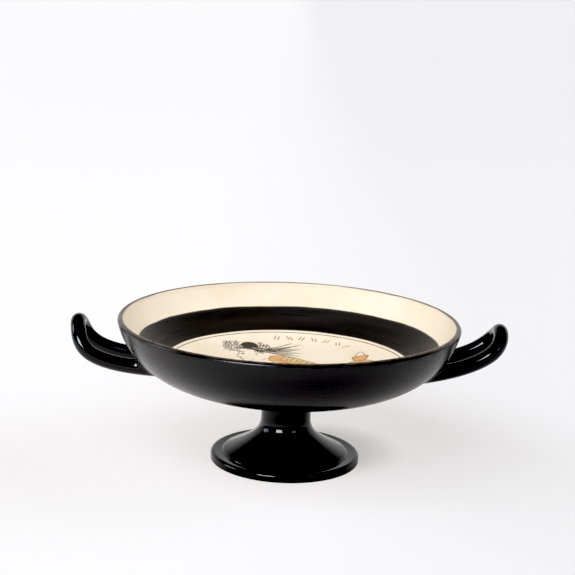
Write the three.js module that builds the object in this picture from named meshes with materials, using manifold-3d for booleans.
// Kylix: a wide, shallow drinking cup on a turned stem and foot, with two upswept loop handles.
// It is one piece of fired clay, so the bowl, stem, foot and handles join into a single solid.
//
// Lengths are in millimetres. +Z is up, the cup stands on z = 0 with its turning axis on the Z axis,
// and the handles lie along X.
import * as THREE from "three";
import { mergeVertices } from "three/addons/utils/BufferGeometryUtils.js";
import Module from "manifold-3d";

const wasm = await Module();
wasm.setup();

// Bowl.
const rimRadius = 120; // outside of the lip
const bowlUnderside = 52; // height of the bowl's underside at the stem
const bowlHeight = 51; // from that underside up to the top of the lip
const lipWidth = 4.4; // wall at the lip
const floorThickness = 8.6; // clay under the middle of the picture disc
const lipTop = bowlUnderside + bowlHeight;

// Fullness of the bowl's two curves: how far each end's handle pulls before the curve turns.
const outerFloorPull = 28;
const outerWallPull = 57.5;
const outerWallLean = 76; // degrees from the horizontal, at the lip
const innerFloorPull = 63;
const innerWallPull = 39.5;
const innerWallLean = 63;

// Stem and foot.
const stemRadius = 17.6;
const stemRootFillet = 2.5; // between the bowl's underside and the stem
const flareTop = 31; // height where the stem starts to spread
const flarePull = 9.5; // how long the spreading face keeps to the stem
const footSlope = 25; // degrees, the spreading face's slope at its lower end
const footSlopePull = 21; // how long it keeps to that slope
const ridgeRadius = 44; // crest that ends the spreading face
const ridgeHeight = 7.6;
const footRadius = 52.8;
const footEdgeHeight = 5.9; // top of the foot's rounded edge
const footEdgeRound = 2.2;
const footEdgeChamfer = 0.8;
const standingRingWidth = 7.2; // flat ring that the cup stands on
const footWall = 4.7; // clay between the spreading face and the hollow under it
const hollowTopRadius = 7;
const hollowTop = 26; // height of the hollow inside the stem

// Handles. Each is one round rod bent to a loop: two roots on the bowl, and a raised, rounded end.
const rodRadius = 5.2;
const rootHalfSpacing = 19; // from the middle plane to each root
const loopHalfWidth = 16.6; // the same, at the start of the rounded end
const handleReach = 28; // the rod's middle stands out this far past the lip
const rootBlend = 9; // how far the clay is smoothed out round each root
const embedDepth = 0.6; // the smoothed clay runs this deep into the wall

// The handles are bent and set by hand, so the two differ a little. The heights are those of the rod's
// middle at the wall and at the end. The pulls and the lean shape the rod's side view: level at the
// root, then turning up into the end.
const handles = [
  { side: -1, rootHeight: 67.5, rootPull: 66, tipHeight: 95.7, tipPull: 11, tipLean: 21, endLength: 25 },
  { side: 1, rootHeight: 68.8, rootPull: 6, tipHeight: 98.9, tipPull: 23.5, tipLean: 8.5, endLength: 17 },
];

// Fineness of the facets.
const turnSegments = 60;
const wallSteps = 12;
const rodSides = 12;
const rodSteps = 26;
const blendSteps = 4;

const point = (r, z) => new THREE.Vector2(r, z);
const radians = THREE.MathUtils.degToRad;

/** The curve of one face of the bowl, from the axis out to the lip. */
function bowlCurve(floorZ, floorPull, edgeRadius, edgeZ, wallPull, wallLean) {
  const lean = radians(wallLean);
  return new THREE.CubicBezierCurve(
    point(0, floorZ),
    point(floorPull, floorZ),
    point(edgeRadius - wallPull * Math.cos(lean), edgeZ - wallPull * Math.sin(lean)),
    point(edgeRadius, edgeZ),
  );
}

const lipRound = lipWidth / 2;
const outerCurve = bowlCurve(
  bowlUnderside, outerFloorPull, rimRadius, lipTop - lipRound, outerWallPull, outerWallLean,
);
const innerCurve = bowlCurve(
  bowlUnderside + floorThickness, innerFloorPull, rimRadius - lipWidth, lipTop - lipRound,
  innerWallPull, innerWallLean,
);

/** The place along a bowl curve, from 0 to 1, where measure(point) reaches the wanted value. */
function findOnCurve(curve, measure, wanted) {
  let low = 0;
  let high = 1;
  for (let i = 0; i < 40; i++) {
    const middle = (low + high) / 2;
    if (measure(curve.getPoint(middle)) < wanted) low = middle;
    else high = middle;
  }
  return (low + high) / 2;
}

/** Points on a circular arc, from one angle to the other, in degrees. */
function arc(centre, radius, fromAngle, toAngle, steps) {
  const points = [];
  for (let i = 0; i <= steps; i++) {
    const angle = radians(THREE.MathUtils.lerp(fromAngle, toAngle, i / steps));
    points.push(point(centre.x + radius * Math.cos(angle), centre.y + radius * Math.sin(angle)));
  }
  return points;
}

/** The whole turned section: over the picture disc, round the lip, down the outside and under the foot. */
function turnedSection() {
  const inside = innerCurve.getPoints(wallSteps);
  const lip = arc(point(rimRadius - lipRound, lipTop - lipRound), lipRound, 180, 0, 6).slice(1, -1);
  const joint = findOnCurve(outerCurve, (p) => p.x, stemRadius + stemRootFillet);
  const outside = [];
  for (let i = 0; i <= wallSteps; i++)
    outside.push(outerCurve.getPoint(THREE.MathUtils.lerp(1, joint, i / wallSteps)));

  const jointPoint = outerCurve.getPoint(joint);
  const rootFillet = arc(
    point(stemRadius + stemRootFillet, jointPoint.y - stemRootFillet), stemRootFillet, 90, 180, 3,
  ).slice(1);
  const slope = point(-Math.cos(radians(footSlope)), Math.sin(radians(footSlope)));
  const crest = point(ridgeRadius - 1, ridgeHeight);
  const stemFlare = new THREE.CubicBezierCurve(
    point(stemRadius, flareTop),
    point(stemRadius, flareTop - flarePull),
    crest.clone().addScaledVector(slope, footSlopePull),
    crest,
  ).getPoints(9);

  const edgeCentre = point(footRadius - footEdgeRound, footEdgeHeight - footEdgeRound);
  const foot = [
    point(ridgeRadius + 0.3, ridgeHeight - 0.4),
    point(ridgeRadius + 1, footEdgeHeight - 0.3),
    ...arc(edgeCentre, footEdgeRound, 90, 0, 3),
    point(footRadius, footEdgeChamfer),
    point(footRadius - footEdgeChamfer, 0),
  ];

  const ringInside = footRadius - footEdgeChamfer - standingRingWidth;
  const hollowEdge = point(ringInside, ridgeHeight - footWall);
  const hollow = new THREE.CubicBezierCurve(
    hollowEdge,
    hollowEdge.clone().addScaledVector(slope, footSlopePull),
    point(hollowTopRadius, hollowTop - flarePull),
    point(hollowTopRadius, hollowTop - hollowTopRadius / 2),
  ).getPoints(6);
  const under = [point(ringInside, 0), ...hollow, point(hollowTopRadius / 2, hollowTop), point(0, hollowTop)];
  return [...inside, ...lip, ...outside, ...rootFillet, ...stemFlare, ...foot, ...under];
}

/** Radius and slope of the bowl's outside at a height. */
function wallAt(height) {
  const t = findOnCurve(outerCurve, (p) => p.y, height);
  return { radius: outerCurve.getPoint(t).x, tangent: outerCurve.getTangent(t) };
}

/** The outward normal of the bowl's outside nearest a point in space. */
function wallNormal(p) {
  const { tangent } = wallAt(p.z);
  const around = Math.atan2(p.y, p.x);
  return new THREE.Vector3(tangent.y * Math.cos(around), tangent.y * Math.sin(around), -tangent.x);
}

/** How far a point stands outside the bowl's outside, negative within it. */
function overWall(p) {
  const { radius, tangent } = wallAt(p.z);
  return (Math.hypot(p.x, p.y) - radius) * tangent.y;
}

/** Moves a point along the wall's normal until it lies at the given depth under the surface. */
function setUnderWall(p, depth) {
  for (let i = 0; i < 4; i++) p.addScaledVector(wallNormal(p), -(overWall(p) + depth));
  return p;
}

/** The middle line of a handle's rod, from its +Y root round the loop to its -Y root. */
class HandleLine extends THREE.Curve {
  constructor(handle) {
    super();
    this.handle = handle;
    const lean = radians(handle.tipLean);
    // The line starts just inside of where the rod's underside meets the wall, so within the clay.
    const undersideMeets = wallAt(handle.rootHeight - rodRadius).radius;
    const startX = Math.sqrt(undersideMeets ** 2 - rootHalfSpacing ** 2) - 3 * embedDepth;
    const start = point(startX, handle.rootHeight);
    const tip = point(rimRadius + handleReach, handle.tipHeight);
    this.sideView = new THREE.CubicBezierCurve(
      start,
      point(start.x + handle.rootPull, start.y),
      point(tip.x - handle.tipPull * Math.sin(lean), tip.y - handle.tipPull * Math.cos(lean)),
      tip,
    );
    this.length = this.sideView.getLength();
    this.armLength = this.length - handle.endLength;
    const bendLength = (Math.PI / 4) * (handle.endLength + loopHalfWidth);
    this.armShare = this.armLength / (this.armLength + bendLength);
  }

  /** The loop laid flat: the distance out along the side view, as a share of it, and across. */
  flat(t) {
    const share = 1 - Math.abs(2 * t - 1);
    const sign = t < 0.5 ? 1 : -1;
    if (share < this.armShare) {
      const out = share / this.armShare;
      const across = loopHalfWidth + (rootHalfSpacing - loopHalfWidth) * (1 - out) ** 2;
      return { along: (out * this.armLength) / this.length, across: sign * across };
    }
    const turn = ((share - this.armShare) / (1 - this.armShare)) * (Math.PI / 2);
    const along = (this.armLength + this.handle.endLength * Math.sin(turn)) / this.length;
    return { along: Math.min(along, 1), across: sign * loopHalfWidth * Math.cos(turn) };
  }

  getPoint(t) {
    const { along, across } = this.flat(t);
    const p = this.sideView.getPointAt(along);
    return new THREE.Vector3(this.handle.side * p.x, across, p.y);
  }

  /** A point on the rod's surface: how far along the rod, from 0 to 1, and the angle round it. */
  surfacePoint(u, angle) {
    const { along } = this.flat(this.getUtoTmapping(u));
    const sideTangent = this.sideView.getTangentAt(along);
    const up = new THREE.Vector3(-this.handle.side * sideTangent.y, 0, sideTangent.x);
    const across = this.getTangentAt(u).cross(up).normalize();
    return this.getPointAt(u)
      .addScaledVector(up, rodRadius * Math.cos(angle))
      .addScaledVector(across, rodRadius * Math.sin(angle));
  }
}

/** The clay smoothed out at one root, seen along one line of the rod: from the rod down to the wall. */
function rootCurve(line, angle, fromEnd) {
  const at = (distance) => (fromEnd ? 1 - distance : distance);
  let inside = 0;
  let outside = 0.25;
  for (let i = 0; i < 24; i++) {
    const middle = (inside + outside) / 2;
    if (overWall(line.surfacePoint(at(middle), angle)) < 0) inside = middle;
    else outside = middle;
  }
  const meet = line.surfacePoint(at(inside), angle);
  const normal = wallNormal(meet);
  const away = meet.clone().sub(line.getPointAt(at(inside)));
  away.addScaledVector(normal, -away.dot(normal)).normalize();
  const top = inside + rootBlend / line.getLength();
  const foot = setUnderWall(meet.clone().addScaledVector(away, rootBlend), embedDepth);
  return { top, curve: new THREE.QuadraticBezierCurve3(foot, meet, line.surfacePoint(at(top), angle)) };
}

/** Rings at one root, from the wall out to where the plain rod starts, a share `clear` of its length. */
function rootRings(line, roots, clear, fromEnd) {
  const rings = [];
  for (let k = 0; k <= blendSteps; k++) rings.push(roots.map(({ curve }) => curve.getPoint(k / blendSteps)));
  for (let k = 1; k < blendSteps; k++)
    rings.push(
      roots.map(({ top }, s) => {
        const distance = THREE.MathUtils.lerp(top, clear, k / blendSteps);
        return line.surfacePoint(fromEnd ? 1 - distance : distance, (s / rodSides) * 2 * Math.PI);
      }),
    );
  return fromEnd ? rings.reverse() : rings;
}

/** A closed solid over a run of rings with equal counts, with a fan of faces at each end. */
function loft(rings, firstCentre, lastCentre) {
  const positions = [];
  const index = [];
  const count = rings[0].length;
  for (const ring of rings) for (const p of ring) positions.push(p.x, p.y, p.z);
  for (let r = 0; r + 1 < rings.length; r++)
    for (let i = 0; i < count; i++) {
      const a = r * count + i;
      const b = r * count + ((i + 1) % count);
      index.push(a, b, a + count, b, b + count, a + count);
    }
  const first = positions.length / 3;
  positions.push(firstCentre.x, firstCentre.y, firstCentre.z, lastCentre.x, lastCentre.y, lastCentre.z);
  const lastRing = (rings.length - 1) * count;
  for (let i = 0; i < count; i++) {
    const next = (i + 1) % count;
    index.push(first, next, i, first + 1, lastRing + i, lastRing + next);
  }
  const geometry = new THREE.BufferGeometry();
  geometry.setAttribute("position", new THREE.Float32BufferAttribute(positions, 3));
  geometry.setIndex(index);
  return geometry;
}

/** One handle: a rod along its middle line, with both ends smoothed into the bowl. */
function handleGeometry(handle) {
  const line = new HandleLine(handle);
  const angles = Array.from({ length: rodSides }, (_, s) => (s / rodSides) * 2 * Math.PI);
  const firstRoots = angles.map((angle) => rootCurve(line, angle, false));
  const lastRoots = angles.map((angle) => rootCurve(line, angle, true));
  const clear = Math.max(...firstRoots.map(({ top }) => top)) + 0.02;
  const rod = [];
  for (let i = 0; i <= rodSteps; i++) {
    const u = THREE.MathUtils.lerp(clear, 1 - clear, i / rodSteps);
    rod.push(angles.map((angle) => line.surfacePoint(u, angle)));
  }
  const rings = [
    ...rootRings(line, firstRoots, clear, false), ...rod, ...rootRings(line, lastRoots, clear, true),
  ];
  const middle = (ring) => {
    const sum = ring.reduce((total, p) => total.add(p), new THREE.Vector3());
    return setUnderWall(sum.divideScalar(ring.length), 3 * embedDepth);
  };
  return loft(rings, middle(rings[0]), middle(rings[rings.length - 1]));
}

/** A geometry as a solid that can be joined to others. */
function solid(geometry) {
  const bare = new THREE.BufferGeometry();
  bare.setAttribute("position", geometry.getAttribute("position"));
  bare.setIndex(geometry.index);
  const merged = mergeVertices(bare, 1e-3);
  const triVerts = [];
  for (let i = 0; i < merged.index.count; i += 3) {
    const [a, b, c] = [0, 1, 2].map((k) => merged.index.getX(i + k));
    if (a !== b && b !== c && c !== a) triVerts.push(a, b, c);
  }
  return new wasm.Manifold(
    new wasm.Mesh({
      numProp: 3,
      vertProperties: new Float32Array(merged.attributes.position.array),
      triVerts: new Uint32Array(triVerts),
    }),
  );
}

/** A joined solid as a geometry to draw. */
function geometryOf(manifold) {
  const mesh = manifold.getMesh();
  const geometry = new THREE.BufferGeometry();
  geometry.setAttribute("position", new THREE.BufferAttribute(mesh.vertProperties, 3));
  geometry.setIndex(new THREE.BufferAttribute(mesh.triVerts, 1));
  geometry.computeVertexNormals();
  return geometry;
}

/** The turned body: bowl, stem and hollow foot. */
function turnedBody() {
  const geometry = new THREE.LatheGeometry(turnedSection().reverse(), turnSegments);
  geometry.rotateX(Math.PI / 2); // the lathe turns about Y
  return solid(geometry);
}

const blackGloss = new THREE.MeshStandardMaterial({ color: 0x0d0c0c, roughness: 0.3, metalness: 0 });
const cup = handles.reduce((body, handle) => body.add(solid(handleGeometry(handle))), turnedBody());
const mesh = new THREE.Mesh(geometryOf(cup), blackGloss);
mesh.name = "kylix_cup";

const kylix = new THREE.Group();
kylix.add(mesh);

export default kylix;
